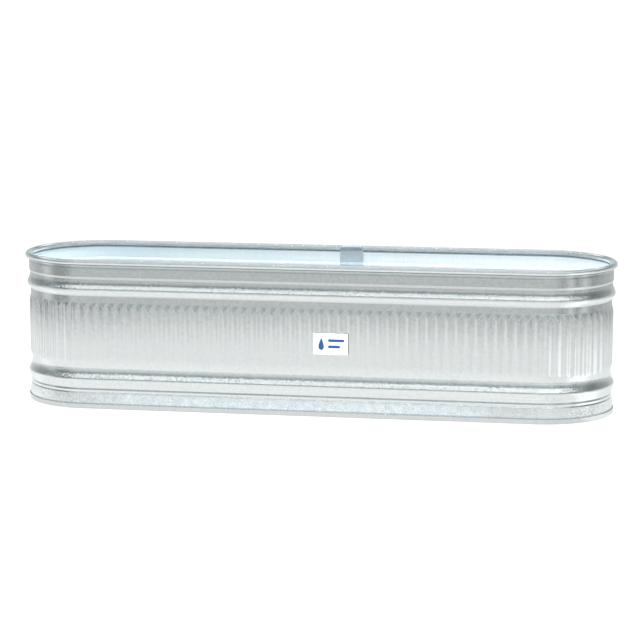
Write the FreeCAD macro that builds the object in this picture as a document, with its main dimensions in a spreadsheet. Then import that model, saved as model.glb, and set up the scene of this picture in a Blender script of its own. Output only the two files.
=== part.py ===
"""Round-end galvanised stock trough: one fluted wall sheet on a double-seamed floor sheet, a rolled
rim over a steel tube, a welded side seam under zinc paint, and a screw-in drain plug.

Frame: millimetres, +X along the trough, +Y to the rear, +Z up. The origin is on the ground under
the middle of the trough. "Proud" is a distance outward from the face of the plain upper band.
"""
import FreeCAD, Part
import math
import os

import Sketcher
from FreeCAD import Placement, Rotation, Vector

# ---------------------------------------------------------------- driving dimensions

DIMENSIONS = (
    ("overall_length", 2438, "over the rim bead"),
    ("overall_width", 610, "over the rim bead"),
    ("overall_height", 610, "ground to the top of the rim bead"),
    ("sheet_thickness", 0.8, "wall and floor sheet"),
    ("rim_radius", 12, "rolled rim, outside"),
    ("rim_proud", 14, "reach of the rolled rim"),
    ("rim_root_radius", 3, "bend where the wall turns into the roll"),
    ("roll_end", -95, "direction from the roll's centre to its free edge, degrees"),
    ("neck_depth", 1.5, "pinch in the wall just under the roll"),
    ("neck_height", 579, "height of the pinch"),
    ("band_top", 572, "top of the plain upper band"),
    ("band_bottom", 538, "bottom of the plain upper band"),
    ("groove_depth", 4.0, "groove over the upper bead"),
    ("groove_top", 530, "top of that groove"),
    ("groove_height", 514, "where the groove turns out to the bead, sharp corner"),
    ("bead_proud", 10.2, "both beads, sharp corner before rounding"),
    ("upper_bead_height", 483, "height of the upper bead"),
    ("root_depth", 5.2, "plain wall above and below the flutes"),
    ("root_height", 461, "corner under the upper bead"),
    ("bead_bend", 18, "radius at the crest of both beads, middle of the sheet"),
    ("groove_bend", 50, "radius from the groove out to the upper bead"),
    ("band_bend", 4, "radius at the edges of the plain bands and of the flare"),
    ("ridge_bend", 3, "radius at the flare's top and between the creases"),
    ("crease_bend", 2, "radius in the creases and under the upper bead"),
    ("strip_bend", 60, "radius from the plain wall out to the lower bead"),
    ("flute_top", 436, "top of the fluted band"),
    ("flute_bottom", 180, "bottom of the fluted band"),
    ("crest_proud", 0.8, "flute crests"),
    ("valley_depth", 5.0, "flute valleys"),
    ("top_fade", 26, "height over which the crests run out at the top"),
    ("bottom_fade", 14, "height over which the crests run out at the bottom"),
    ("side_flutes", 47, "flutes along each straight side"),
    ("end_flutes", 24, "flutes around each end"),
    ("strip_bottom", 152, "bottom of the plain wall under the flutes, sharp corner"),
    ("lower_bead_height", 119, "height of the lower bead"),
    ("lower_bead_bottom", 90, "bottom of the lower bead"),
    ("crease_depth", 2.2, "two shallow creases under the lower bead"),
    ("upper_crease_height", 83, "height of the upper crease"),
    ("lower_crease_height", 67, "height of the lower crease"),
    ("flare_top", 62, "where the foot starts to flare"),
    ("flare_bottom", 20, "where the flare meets the hem"),
    ("layer_pitch", 0.9, "spacing of the layers in the hem"),
    ("hem_start", 4.0, "middle of the innermost hem layer, proud"),
    ("hem_height", 19.2, "top of the hem"),
    ("hem_bend", 0.8, "radius at the hem's bottom corners, middle of the sheet"),
    ("floor_bend", 5, "radius where the floor turns down, middle of the sheet"),
    ("hook_top", 12, "top of the wall's own hook inside the hem"),
    ("tuck_bottom", 4, "bottom of the floor sheet's tucked edge inside the hem"),
    ("floor_height", 22, "top face of the floor"),
    ("floor_margin", 21, "flat floor stops this far inside the wall"),
    ("sealant_width", 10, "sealant on the floor"),
    ("sealant_height", 8, "sealant up the wall"),
    ("sealant_lean", 1.0, "how far the sealant's top stands inside its foot"),
    ("sealant_gap", 0.05, "sealant to floor, and twice this to the wall"),
    ("tube_radius", 10.9, "rim tube, outside"),
    ("tube_wall", 1.6, "rim tube, wall"),
    ("tube_gap", 1, "gap between the rim tube's ends"),
    ("splice_length", 120, "sleeve inside the rim tube"),
    ("splice_clearance", 0.15, "radial, sleeve to tube"),
    ("splice_wall", 1.5, "sleeve wall"),
    ("seam_x", 102, "side seam, on the rear wall"),
    ("paint_width", 100, "zinc paint over the side seam"),
    ("paint_thickness", 0.3, "zinc paint"),
    ("paint_bottom", 31, "bottom edge of the paint"),
    ("label_width", 140, "label on the front wall"),
    ("label_height", 86, "label"),
    ("label_thickness", 0.4, "label"),
    ("label_x", 104, "label centre"),
    ("label_z", 295, "label centre"),
    ("drain_angle", 140, "degrees about the left end's centre, from +X"),
    ("drain_height", 60, "drain axis"),
    ("seat_proud", 6, "pressed flat seat for the drain"),
    ("seat_radius", 33, "flat part of the seat"),
    ("seat_flare", 7, "how much the seat's skirt widens"),
    ("seat_skirt", 13, "depth of the skirt"),
    ("bushing_radius", 20.95, "threaded body of the bushing, 1 1/4 inch pipe"),
    ("hole_radius", 21.2, "hole in the seat, gaskets and washer"),
    ("gasket_radius", 29.5, "gaskets and washer, outside"),
    ("gasket_thickness", 2, "gaskets"),
    ("washer_thickness", 1.5, "washer"),
    ("collar_flats", 54, "hexagon collar across flats"),
    ("collar_thickness", 9, "collar"),
    ("nut_flats", 50, "lock nut across flats"),
    ("nut_thickness", 9, "lock nut"),
    ("bushing_tail", 4.5, "bushing past the lock nut"),
    ("plug_radius", 16.6, "plug shank, 1 inch pipe"),
    ("plug_clearance", 0.05, "radial, plug to bushing"),
    ("plug_shank", 15.5, "shank inside the bushing"),
    ("shank_chamfer", 1, "chamfer at the end of the shank"),
    ("seal_thickness", 2, "ring under the plug's flange"),
    ("seal_radius", 21, "ring, outside"),
    ("seal_bore", 16.9, "ring, inside"),
    ("face_gap", 0.05, "each side of the ring"),
    ("flange_radius", 22, "plug flange"),
    ("flange_thickness", 3, "plug flange"),
    ("head_flats", 30, "plug hexagon across flats"),
    ("head_height", 10, "plug hexagon"),
)

doc = FreeCAD.newDocument("stock_trough")
sheet = doc.addObject("Spreadsheet::Sheet", "dims")
for row, (alias, size, meaning) in enumerate(DIMENSIONS, start=1):
    sheet.set(f"A{row}", alias)
    sheet.set(f"B{row}", str(size))
    sheet.set(f"C{row}", meaning)
    sheet.setAlias(f"B{row}", alias)
doc.recompute()


def dim(alias):
    """A driving dimension, read from the sheet."""
    return float(sheet.get(alias))


SHEET = dim("sheet_thickness")
HALF_SHEET = SHEET / 2
WALL_RADIUS = dim("overall_width") / 2 - dim("rim_proud")
HALF_STRAIGHT = (dim("overall_length") - dim("overall_width")) / 2
OVERLAP = 0.5
TOUCHING = 1e-6
CUTTER_MARGIN = 1
START_SIZE = 10
UP = Vector(0, 0, 1)

WALL_RADIUS_EXPR = "(dims.overall_width / 2 - dims.rim_proud)"
HALF_STRAIGHT_EXPR = "((dims.overall_length - dims.overall_width) / 2)"


# ---------------------------------------------------------------- sheet-metal sections
#
# A section is a path in (proud, z): the middle line of the sheet, as lines and tangent arcs.
# Its pieces are ("line", start, end) and ("arc", centre, radius, start angle, sweep).


def rounded_path(corners):
    """The path through (proud, z, bend radius) corners, each bend a tangent arc."""
    pieces = []
    here = Vector(corners[0][0], corners[0][1], 0)
    for index in range(1, len(corners) - 1):
        corner = Vector(corners[index][0], corners[index][1], 0)
        following = Vector(corners[index + 1][0], corners[index + 1][1], 0)
        radius = corners[index][2]
        along_in = (corner - here).normalize()
        along_out = (following - corner).normalize()
        turn = math.atan2(along_in.cross(along_out).z, along_in.dot(along_out))
        setback = radius * math.tan(abs(turn) / 2)
        side = math.copysign(1, turn)
        start = corner - along_in * setback
        centre = start + Vector(-along_in.y, along_in.x, 0) * (side * radius)
        start_angle = math.atan2(start.y - centre.y, start.x - centre.x)
        if (start - here).Length > TOUCHING:
            pieces.append(("line", here, start))
        pieces.append(("arc", centre, radius, start_angle, turn))
        here = corner + along_out * setback
    pieces.append(("line", here, Vector(corners[-1][0], corners[-1][1], 0)))
    return pieces


def arc_point(centre, radius, angle):
    return centre + Vector(math.cos(angle), math.sin(angle), 0) * radius


def shifted(path, left):
    """The path moved sideways: each piece as its 2 or 3 defining points."""
    curves = []
    for kind, *data in path:
        if kind == "line":
            start, end = data
            along = (end - start).normalize()
            move = Vector(-along.y, along.x, 0) * left
            curves.append([start + move, end + move])
        else:
            centre, radius, start_angle, sweep = data
            reach = radius - math.copysign(1, sweep) * left
            angles = [start_angle, start_angle + sweep / 2, start_angle + sweep]
            curves.append([arc_point(centre, reach, angle) for angle in angles])
    return curves


def strip_outline(path, right, left):
    """Closed outline of a strip that reaches right and left of the path by these distances."""
    far_side = shifted(path, -right)
    near_side = [list(reversed(curve)) for curve in reversed(shifted(path, left))]
    end_cap = [far_side[-1][-1], near_side[0][0]]
    start_cap = [near_side[-1][-1], far_side[0][0]]
    return far_side + [end_cap] + near_side + [start_cap]


def upper_wall_path(roll_end):
    """Wall from the top of the flutes to the rolled rim; the roll ends at the angle roll_end."""
    neck = -dim("neck_depth") - HALF_SHEET
    groove = -dim("groove_depth") - HALF_SHEET
    roll_radius = dim("rim_radius") - HALF_SHEET
    roll_centre = Vector(dim("rim_proud") - dim("rim_radius"),
                         dim("overall_height") - dim("rim_radius"), 0)
    root_radius = dim("rim_root_radius")
    root_reach = roll_radius + root_radius
    root_x = neck - root_radius
    root_centre = Vector(root_x, roll_centre.y
                         - math.sqrt(root_reach ** 2 - (roll_centre.x - root_x) ** 2), 0)
    to_roll = roll_centre - root_centre
    root_sweep = math.atan2(to_roll.y, to_roll.x)
    root = -dim("root_depth") - HALF_SHEET
    path = rounded_path((
        (root, dim("flute_top"), 0),
        (root, dim("root_height"), dim("crease_bend")),
        (dim("bead_proud") - HALF_SHEET, dim("upper_bead_height"), dim("bead_bend")),
        (groove, dim("groove_height"), dim("groove_bend")),
        (groove, dim("groove_top"), dim("band_bend")),
        (-HALF_SHEET, dim("band_bottom"), dim("band_bend")),
        (-HALF_SHEET, dim("band_top"), dim("band_bend")),
        (neck, dim("neck_height"), dim("band_bend")),
        (neck, root_centre.y, 0),
    ))
    path.append(("arc", root_centre, root_radius, 0.0, root_sweep))
    roll_start = root_sweep + math.pi
    path.append(("arc", roll_centre, roll_radius, roll_start,
                 math.radians(roll_end) - roll_start))
    return path


def foot_corners():
    """Corners of the wall's hook inside the hem, up to the start of the flare."""
    pitch = dim("layer_pitch")
    wall_layer = dim("hem_start") + pitch
    hook_layer = wall_layer + 2 * pitch
    hook_turn = SHEET + pitch - HALF_SHEET
    return [(hook_layer, dim("hook_top"), 0),
            (hook_layer, hook_turn, pitch),
            (wall_layer, hook_turn, pitch),
            (wall_layer, dim("flare_bottom"), dim("band_bend"))]


def flare_point(z):
    """A path corner on the middle of the sheet of the flared foot, at one height."""
    wide = dim("hem_start") + dim("layer_pitch")
    fraction = (z - dim("flare_bottom")) / (dim("flare_top") - dim("flare_bottom"))
    return (wide + (-HALF_SHEET - wide) * fraction, z, 0)


def lower_band_corners():
    """Corners from the top of the flare to the bottom of the flutes."""
    plain = -HALF_SHEET
    crease = -dim("crease_depth") - HALF_SHEET
    root = -dim("root_depth") - HALF_SHEET
    ridge_height = (dim("upper_crease_height") + dim("lower_crease_height")) / 2
    return [(plain, dim("flare_top"), dim("ridge_bend")),
            (crease, dim("lower_crease_height"), dim("crease_bend")),
            (plain, ridge_height, dim("ridge_bend")),
            (crease, dim("upper_crease_height"), dim("crease_bend")),
            (plain, dim("lower_bead_bottom"), dim("band_bend")),
            (dim("bead_proud") - HALF_SHEET, dim("lower_bead_height"), dim("bead_bend")),
            (root, dim("strip_bottom"), dim("strip_bend")),
            (root, dim("flute_bottom"), 0)]


def lower_wall_path():
    """Wall from its hook inside the hem up to the bottom of the flutes."""
    return rounded_path(foot_corners() + lower_band_corners())


def floor_path():
    """Floor sheet from its flat middle, down inside the wall and around it as the hem."""
    pitch = dim("layer_pitch")
    inner_layer = dim("hem_start")
    outer_layer = inner_layer + 4 * pitch
    tuck_layer = outer_layer - 2 * pitch
    floor_middle = dim("floor_height") - HALF_SHEET
    hem_middle = dim("hem_height") - HALF_SHEET
    return rounded_path((
        (-dim("floor_margin"), floor_middle, 0),
        (inner_layer, floor_middle, dim("floor_bend")),
        (inner_layer, HALF_SHEET, dim("hem_bend")),
        (outer_layer, HALF_SHEET, dim("hem_bend")),
        (outer_layer, hem_middle, pitch),
        (tuck_layer, hem_middle, pitch),
        (tuck_layer, dim("tuck_bottom"), 0),
    ))


# ---------------------------------------------------------------- document helpers


def origin_plane(body, role):
    return next(item for item in body.Origin.OriginFeatures if item.Role == role)


def new_body(name):
    body = doc.addObject("PartDesign::Body", name)
    body.Label = name
    return body


def new_sketch(body, name, role, height="0"):
    """A sketch on one of the body's origin planes, lifted along its normal by an expression."""
    sketch = body.newObject("Sketcher::SketchObject", name)
    sketch.AttachmentSupport = [(origin_plane(body, role), "")]
    sketch.MapMode = "FlatFace"
    sketch.setExpression("AttachmentOffset.Base.z", height)
    return sketch


def draw_section(sketch, outline, side):
    """A (proud, z) outline on a YZ sketch: side -1 is the front wall, +1 the rear."""
    for curve in outline:
        points = [Vector(side * (WALL_RADIUS + point.x), point.y, 0) for point in curve]
        segment = Part.LineSegment(*points) if len(points) == 2 else Part.Arc(*points)
        index = sketch.addGeometry(segment, False)
        sketch.addConstraint(Sketcher.Constraint("Block", index))


def around_trough(body, outlines):
    """Carry closed outlines round the stadium plan: two straight pads and two half turns."""
    name = body.Name
    runs = (("front", -1, "Pad", "-" + HALF_STRAIGHT_EXPR),
            ("right", -1, "Revolution", HALF_STRAIGHT_EXPR),
            ("rear", 1, "Pad", "-" + HALF_STRAIGHT_EXPR),
            ("left", 1, "Revolution", "-" + HALF_STRAIGHT_EXPR))
    for run, side, kind, station in runs:
        sketch = new_sketch(body, f"{name}_{run}_section", "YZ_Plane", station)
        for outline in outlines:
            draw_section(sketch, outline, side)
        doc.recompute()
        feature = body.newObject(f"PartDesign::{kind}", f"{name}_{run}")
        feature.Profile = sketch
        feature.Refine = False
        if kind == "Pad":
            feature.setExpression("Length", "2 * " + HALF_STRAIGHT_EXPR)
        else:
            feature.ReferenceAxis = (sketch, ["V_Axis"])
            feature.Angle = 180
        doc.recompute()


def add_circle(sketch, name, radius):
    """A circle about the origin, its radius given by an expression."""
    index = sketch.addGeometry(Part.Circle(Vector(0, 0, 0), UP, START_SIZE), False)
    sketch.addConstraint(Sketcher.Constraint("Coincident", index, 3, -1, 1))
    constraint = sketch.addConstraint(Sketcher.Constraint("Radius", index, START_SIZE))
    sketch.renameConstraint(constraint, name)
    sketch.setExpression(f"Constraints.{name}", radius)


def add_polygon(sketch, name, sides, flats):
    """A regular polygon about the origin, its size across flats given by an expression."""
    corners = [arc_point(Vector(0, 0, 0), START_SIZE, 2 * math.pi * (k + 0.5) / sides)
               for k in range(sides)]
    first = sketch.GeometryCount
    for k in range(sides):
        sketch.addGeometry(Part.LineSegment(corners[k - 1], corners[k]), False)
    circle = sketch.addGeometry(Part.Circle(Vector(0, 0, 0), UP, START_SIZE), True)
    sketch.addConstraint(Sketcher.Constraint("Coincident", circle, 3, -1, 1))
    for k in range(sides):
        line = first + k
        following = first + (k + 1) % sides
        sketch.addConstraint(Sketcher.Constraint("Coincident", line, 2, following, 1))
        sketch.addConstraint(Sketcher.Constraint("PointOnObject", line, 1, circle))
        if k:
            sketch.addConstraint(Sketcher.Constraint("Equal", first, line))
    sketch.addConstraint(Sketcher.Constraint("Vertical", first))
    constraint = sketch.addConstraint(Sketcher.Constraint("Radius", circle, START_SIZE))
    sketch.renameConstraint(constraint, name)
    sketch.setExpression(f"Constraints.{name}", f"{flats} / 2 / cos(180 deg / {sides})")


def pad(body, sketch, length):
    feature = body.newObject("PartDesign::Pad", sketch.Name + "_pad")
    feature.Profile = sketch
    feature.setExpression("Length", length)
    doc.recompute()
    return feature


def ring(body, name, outer, inner, height, length):
    """A flat ring in the body, padded up from a height, all sizes as expressions."""
    sketch = new_sketch(body, name, "XY_Plane", height)
    add_circle(sketch, "outer", outer)
    if inner:
        add_circle(sketch, "inner", inner)
    doc.recompute()
    return pad(body, sketch, length)


def hexagon(body, name, flats, inner, height, length):
    sketch = new_sketch(body, name, "XY_Plane", height)
    add_polygon(sketch, "corner", 6, flats)
    if inner:
        add_circle(sketch, "inner", inner)
    doc.recompute()
    return pad(body, sketch, length)


def chamfer_rim(body, radius, height, width):
    """Chamfer the circular edges of this radius at this height of the body."""
    doc.recompute()
    names = []
    for number, edge in enumerate(body.Shape.Edges, start=1):
        round_edge = isinstance(edge.Curve, Part.Circle)
        level = abs(edge.BoundBox.ZMin - height) < TOUCHING
        if round_edge and level and abs(edge.Curve.Radius - radius) < TOUCHING:
            names.append(f"Edge{number}")
    if not names:
        raise RuntimeError(f"{body.Name} has no edge to chamfer")
    base = body.Tip
    feature = body.newObject("PartDesign::Chamfer", body.Name + "_chamfer")
    feature.Base = (base, names)
    feature.setExpression("Size", width)
    doc.recompute()


# ---------------------------------------------------------------- the fluted band


def stadium(proud, z):
    """Closed plan outline at a distance proud of the wall face, at one height."""
    radius = WALL_RADIUS + proud
    corners = [Vector(x, y, z) for x, y in ((-HALF_STRAIGHT, -radius), (HALF_STRAIGHT, -radius),
                                            (HALF_STRAIGHT, radius), (-HALF_STRAIGHT, radius))]
    tip = HALF_STRAIGHT + radius
    return Part.Wire([
        Part.LineSegment(corners[0], corners[1]).toShape(),
        Part.Arc(corners[1], Vector(tip, 0, z), corners[2]).toShape(),
        Part.LineSegment(corners[2], corners[3]).toShape(),
        Part.Arc(corners[3], Vector(-tip, 0, z), corners[0]).toShape(),
    ])


def plan_point(run, fraction, proud, z):
    """A point on the front, right, rear or left run of the plan, going anticlockwise."""
    radius = WALL_RADIUS + proud
    along = HALF_STRAIGHT * (2 * fraction - 1)
    if run == "front":
        return Vector(along, -radius, z)
    if run == "rear":
        return Vector(-along, radius, z)
    angle = math.pi * (fraction - 0.5 if run == "right" else fraction + 0.5)
    centre = HALF_STRAIGHT if run == "right" else -HALF_STRAIGHT
    return Vector(centre + radius * math.cos(angle), radius * math.sin(angle), z)


def flute_outline(inset, z):
    """Closed plan outline of the flutes: crest and valley arcs in turn, all the way round."""
    crest = dim("crest_proud") - inset
    valley = -dim("valley_depth") - inset
    middle = (crest + valley) / 2
    edges = []
    for run in ("front", "right", "rear", "left"):
        flutes = dim("side_flutes") if run in ("front", "rear") else dim("end_flutes")
        halves = 2 * int(flutes)
        for k in range(halves):
            peak = valley if k % 2 else crest
            edges.append(Part.Arc(plan_point(run, k / halves, middle, z),
                                  plan_point(run, (k + 0.5) / halves, peak, z),
                                  plan_point(run, (k + 1) / halves, middle, z)).toShape())
    return Part.Wire(edges)


def flute_volume(inset):
    """Everything inside the fluted band's outer face, with that face moved in by inset."""
    bottom = dim("flute_bottom")
    top = dim("flute_top")
    root = -dim("root_depth")
    over_crest = dim("crest_proud") + CUTTER_MARGIN
    reach = (over_crest - root) / (dim("crest_proud") - root)
    upper_knee = top - reach * dim("top_fade")
    lower_knee = bottom + reach * dim("bottom_fade")
    flutes = Part.Face(flute_outline(inset, bottom)).extrude(UP * (top - bottom))
    run_out = Part.makeLoft([stadium(root - inset, bottom),
                             stadium(over_crest - inset, lower_knee),
                             stadium(over_crest - inset, upper_knee),
                             stadium(root - inset, top)], True, True)
    return flutes.common(run_out)


def fluted_layer(inset, thickness, window=None):
    """The layer of the fluted band that starts this far inside its face, within a window."""
    outer = flute_volume(inset)
    inner = flute_volume(inset + thickness)
    if window:
        outer = outer.common(window)
        inner = inner.common(window)
    return outer.cut(inner)


# ---------------------------------------------------------------- drain frame

DRAIN_TURN = math.radians(dim("drain_angle"))
DRAIN_OUT = Vector(math.cos(DRAIN_TURN), math.sin(DRAIN_TURN), 0)
DRAIN_POINT = Vector(-HALF_STRAIGHT, 0, dim("drain_height")) + DRAIN_OUT * WALL_RADIUS
DRAIN_FRAME = Placement(DRAIN_POINT, Rotation(UP.cross(DRAIN_OUT), UP, DRAIN_OUT, "ZYX"))


def seat_cone(name, proud, narrowing):
    """The drain seat's solid frustum, about the drain axis."""
    cone = doc.addObject("Part::Cone", name)
    cone.setExpression("Radius1", f"dims.seat_radius + dims.seat_flare - {narrowing}")
    cone.setExpression("Radius2", f"dims.seat_radius - {narrowing}")
    cone.setExpression("Height", "dims.seat_skirt")
    cone.Placement = DRAIN_FRAME.multiply(Placement(Vector(0, 0, proud - dim("seat_skirt")), Rotation()))
    return cone


def section_face(outline, station):
    """A face from a (proud, z) outline, standing across the rear wall at one X."""
    edges = []
    for curve in outline:
        points = [Vector(station, WALL_RADIUS + point.x, point.y) for point in curve]
        edge = Part.LineSegment(*points) if len(points) == 2 else Part.Arc(*points)
        edges.append(edge.toShape())
    return Part.Face(Part.Wire(edges))


def foot_space():
    """The space inside the foot of the wall, around the left end."""
    standing_wall = lower_wall_path()[len(foot_corners()) - 1:]
    face = shifted(standing_wall, HALF_SHEET)
    low, high = face[0][0], face[-1][-1]
    axis_low = Vector(-WALL_RADIUS, low.y, 0)
    axis_high = Vector(-WALL_RADIUS, high.y, 0)
    outline = face + [[high, axis_high], [axis_high, axis_low], [axis_low, low]]
    section = section_face(outline, -HALF_STRAIGHT)
    return section.revolve(Vector(-HALF_STRAIGHT, 0, 0), UP, 180)


# ---------------------------------------------------------------- the sheet-metal pieces


def make_wall():
    """The whole wall: upper band, fluted band, and lower band with the drain's pressed seat."""
    upper = new_body("upper_band")
    around_trough(upper, [strip_outline(upper_wall_path(dim("roll_end")), HALF_SHEET, HALF_SHEET)])
    lower = new_body("lower_band")
    around_trough(lower, [strip_outline(lower_wall_path(), HALF_SHEET, HALF_SHEET)])

    fluted = doc.addObject("Part::Feature", "fluted_band")
    fluted.Shape = fluted_layer(0, SHEET)

    bored = doc.addObject("Part::Cut", "lower_band_bored")
    bored.Base = lower
    inside = seat_cone("seat_inside", dim("seat_proud") - SHEET, "dims.sheet_thickness")
    bored.Tool = inside

    outside = seat_cone("seat_outside", dim("seat_proud"), "0")
    doc.recompute()
    reach = 2 * dim("seat_skirt")
    hole = Part.makeCylinder(dim("hole_radius"), 2 * reach, DRAIN_POINT - DRAIN_OUT * reach, DRAIN_OUT)
    seat = doc.addObject("Part::Feature", "drain_seat")
    seat.Shape = outside.Shape.cut([inside.Shape, foot_space(), hole])

    wall = doc.addObject("Part::MultiFuse", "whole_wall")
    wall.Shapes = [upper, fluted, bored, seat]
    doc.recompute()
    return wall


WALL_RUNS = (
    ("wall_front", "-" + HALF_STRAIGHT_EXPR, "-dims.overall_width", "2 * " + HALF_STRAIGHT_EXPR,
     "dims.overall_width"),
    ("wall_right_end", HALF_STRAIGHT_EXPR, "-dims.overall_width", "dims.overall_width",
     "2 * dims.overall_width"),
    ("wall_rear", "-" + HALF_STRAIGHT_EXPR, "0", "2 * " + HALF_STRAIGHT_EXPR, "dims.overall_width"),
    ("wall_left_end", "-" + HALF_STRAIGHT_EXPR + " - dims.overall_width", "-dims.overall_width",
     "dims.overall_width", "2 * dims.overall_width"),
)


def split_wall(wall):
    """The wall's straight runs and round ends, each as a piece of its own."""
    runs = []
    for label, x, y, length, width in WALL_RUNS:
        region = doc.addObject("Part::Box", label + "_region")
        region.setExpression("Placement.Base.x", x)
        region.setExpression("Placement.Base.y", y)
        region.setExpression("Length", length)
        region.setExpression("Width", width)
        region.setExpression("Height", "2 * dims.overall_height")
        run = doc.addObject("Part::Common", label)
        run.Label = label
        run.Base = wall
        run.Tool = region
        runs.append(run)
    doc.recompute()
    return runs


def make_floor():
    body = new_body("floor_sheet")
    sketch = new_sketch(body, "floor_flat", "XY_Plane", "dims.floor_height - dims.sheet_thickness")
    radius = WALL_RADIUS - dim("floor_margin") + OVERLAP
    for edge in stadium(radius - WALL_RADIUS, 0).Edges:
        ends = [edge.firstVertex(True).Point, edge.lastVertex(True).Point]
        middle = edge.valueAt((edge.FirstParameter + edge.LastParameter) / 2)
        straight = isinstance(edge.Curve, Part.Line)
        index = sketch.addGeometry(Part.LineSegment(*ends) if straight
                                   else Part.Arc(ends[0], middle, ends[1]), False)
        sketch.addConstraint(Sketcher.Constraint("Block", index))
    doc.recompute()
    pad(body, sketch, "dims.sheet_thickness")
    around_trough(body, [strip_outline(floor_path(), HALF_SHEET, HALF_SHEET)])
    return body


def make_floor_sealant():
    body = new_body("floor_seam_sealant")
    base = dim("floor_height") + dim("sealant_gap")
    foot = dim("hem_start") + 2 * dim("sealant_gap")
    corners = [Vector(foot - dim("sealant_width"), base, 0), Vector(foot, base, 0),
               Vector(foot - dim("sealant_lean"), base + dim("sealant_height"), 0)]
    around_trough(body, [[[corners[k - 1], corners[k]] for k in range(3)]])
    return body


def make_rim_tube():
    hoop = new_body("rim_hoop")
    centre = Vector(dim("rim_proud") - dim("rim_radius"), dim("overall_height") - dim("rim_radius"), 0)
    outlines = []
    for radius in (dim("tube_radius"), dim("tube_radius") - dim("tube_wall")):
        points = [arc_point(centre, radius, math.pi / 2 * quarter) for quarter in range(5)]
        outlines.append([[points[0], points[1], points[2]], [points[2], points[3], points[4]]])
    around_trough(hoop, outlines)
    gap = doc.addObject("Part::Box", "rim_tube_gap")
    gap.setExpression("Length", "dims.tube_gap")
    gap.setExpression("Width", "4 * dims.rim_radius")
    gap.setExpression("Height", "4 * dims.rim_radius")
    gap.setExpression("Placement.Base.x", "dims.seam_x - dims.tube_gap / 2")
    gap.setExpression("Placement.Base.y", WALL_RADIUS_EXPR + " - 2 * dims.rim_radius")
    gap.setExpression("Placement.Base.z", "dims.overall_height - 3 * dims.rim_radius")
    tube = doc.addObject("Part::Cut", "rim_tube")
    tube.Label = "rim_tube"
    tube.Base = hoop
    tube.Tool = gap
    return tube


def make_rim_splice():
    sleeve = "dims.tube_radius - dims.tube_wall - dims.splice_clearance"
    cylinders = []
    for name, radius in (("splice_outside", sleeve), ("splice_bore", sleeve + " - dims.splice_wall")):
        cylinder = doc.addObject("Part::Cylinder", name)
        cylinder.setExpression("Radius", radius)
        cylinder.setExpression("Height", "dims.splice_length")
        cylinder.Placement = Placement(Vector(0, 0, 0), Rotation(Vector(0, 1, 0), 90))
        cylinder.setExpression("Placement.Base.x", "dims.seam_x - dims.splice_length / 2")
        cylinder.setExpression("Placement.Base.y",
                               WALL_RADIUS_EXPR + " + dims.rim_proud - dims.rim_radius")
        cylinder.setExpression("Placement.Base.z", "dims.overall_height - dims.rim_radius")
        cylinders.append(cylinder)
    splice = doc.addObject("Part::Cut", "rim_splice")
    splice.Label = "rim_splice"
    splice.Base, splice.Tool = cylinders
    return splice


def seam_strip(path, right, left):
    """A strip along a section, painted across the side seam on the rear wall."""
    start = dim("seam_x") - dim("paint_width") / 2
    return section_face(strip_outline(path, right, left), start).extrude(
        Vector(dim("paint_width"), 0, 0))


def seam_window():
    """A box across the rear wall, as wide as the paint and as tall as the trough."""
    depth = 4 * dim("rim_proud")
    corner = Vector(dim("seam_x") - dim("paint_width") / 2, WALL_RADIUS - depth / 2, 0)
    return Part.makeBox(dim("paint_width"), depth, dim("overall_height"), corner)


def make_seam_paint(label, upper, right, left, inset):
    """Zinc paint over the seam: a strip between two distances from the middle of the sheet on
    the upper and lower bands, and a layer at an inset from the flutes' face between them."""
    thickness = dim("paint_thickness")
    lower = rounded_path([flare_point(dim("paint_bottom"))] + lower_band_corners())
    layer = fluted_layer(inset, thickness, seam_window())
    paint = doc.addObject("Part::Feature", label)
    paint.Label = label
    paint.Shape = layer.fuse([seam_strip(upper, right, left), seam_strip(lower, right, left)])
    return paint


def make_label():
    plate = doc.addObject("Part::Box", "label_sheet")
    plate.Label = "label_sheet"
    plate.setExpression("Length", "dims.label_width")
    plate.setExpression("Width", "dims.label_thickness")
    plate.setExpression("Height", "dims.label_height")
    plate.setExpression("Placement.Base.x", "dims.label_x - dims.label_width / 2")
    plate.setExpression("Placement.Base.y", "-" + WALL_RADIUS_EXPR
                        + " - dims.crest_proud - dims.label_thickness - dims.face_gap")
    plate.setExpression("Placement.Base.z", "dims.label_z - dims.label_height / 2")
    return plate


# ---------------------------------------------------------------- the drain's pieces
#
# Each stands on the drain axis: its own +Z points out of the trough, from the plain wall face.

SEAT = "dims.seat_proud"
COLLAR_START = SEAT + " + dims.gasket_thickness"
COLLAR_END = COLLAR_START + " + dims.collar_thickness"
SEAT_BACK = SEAT + " - dims.sheet_thickness"
WASHER_START = SEAT_BACK + " - dims.gasket_thickness - dims.washer_thickness"
NUT_START = WASHER_START + " - dims.nut_thickness"
SEAL_START = COLLAR_END + " + dims.face_gap"
FLANGE_START = SEAL_START + " + dims.seal_thickness + dims.face_gap"
HEAD_START = FLANGE_START + " + dims.flange_thickness"


def make_drain_bushing():
    body = new_body("drain_bushing")
    bore = "dims.plug_radius + dims.plug_clearance"
    tail = NUT_START + " - dims.bushing_tail"
    ring(body, "bushing_tube", "dims.bushing_radius", bore, tail, f"{COLLAR_END} - ({tail})")
    hexagon(body, "bushing_collar", "dims.collar_flats", bore, COLLAR_START, "dims.collar_thickness")
    return body


def make_gasket(label, start):
    body = new_body(label)
    ring(body, label + "_ring", "dims.gasket_radius", "dims.hole_radius", start, "dims.gasket_thickness")
    return body


def make_drain_washer():
    body = new_body("drain_washer")
    ring(body, "washer_ring", "dims.gasket_radius", "dims.hole_radius", WASHER_START,
         "dims.washer_thickness")
    return body


def make_lock_nut():
    body = new_body("drain_lock_nut")
    hexagon(body, "nut_hexagon", "dims.nut_flats", "dims.bushing_radius + dims.plug_clearance",
            NUT_START, "dims.nut_thickness")
    return body


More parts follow.
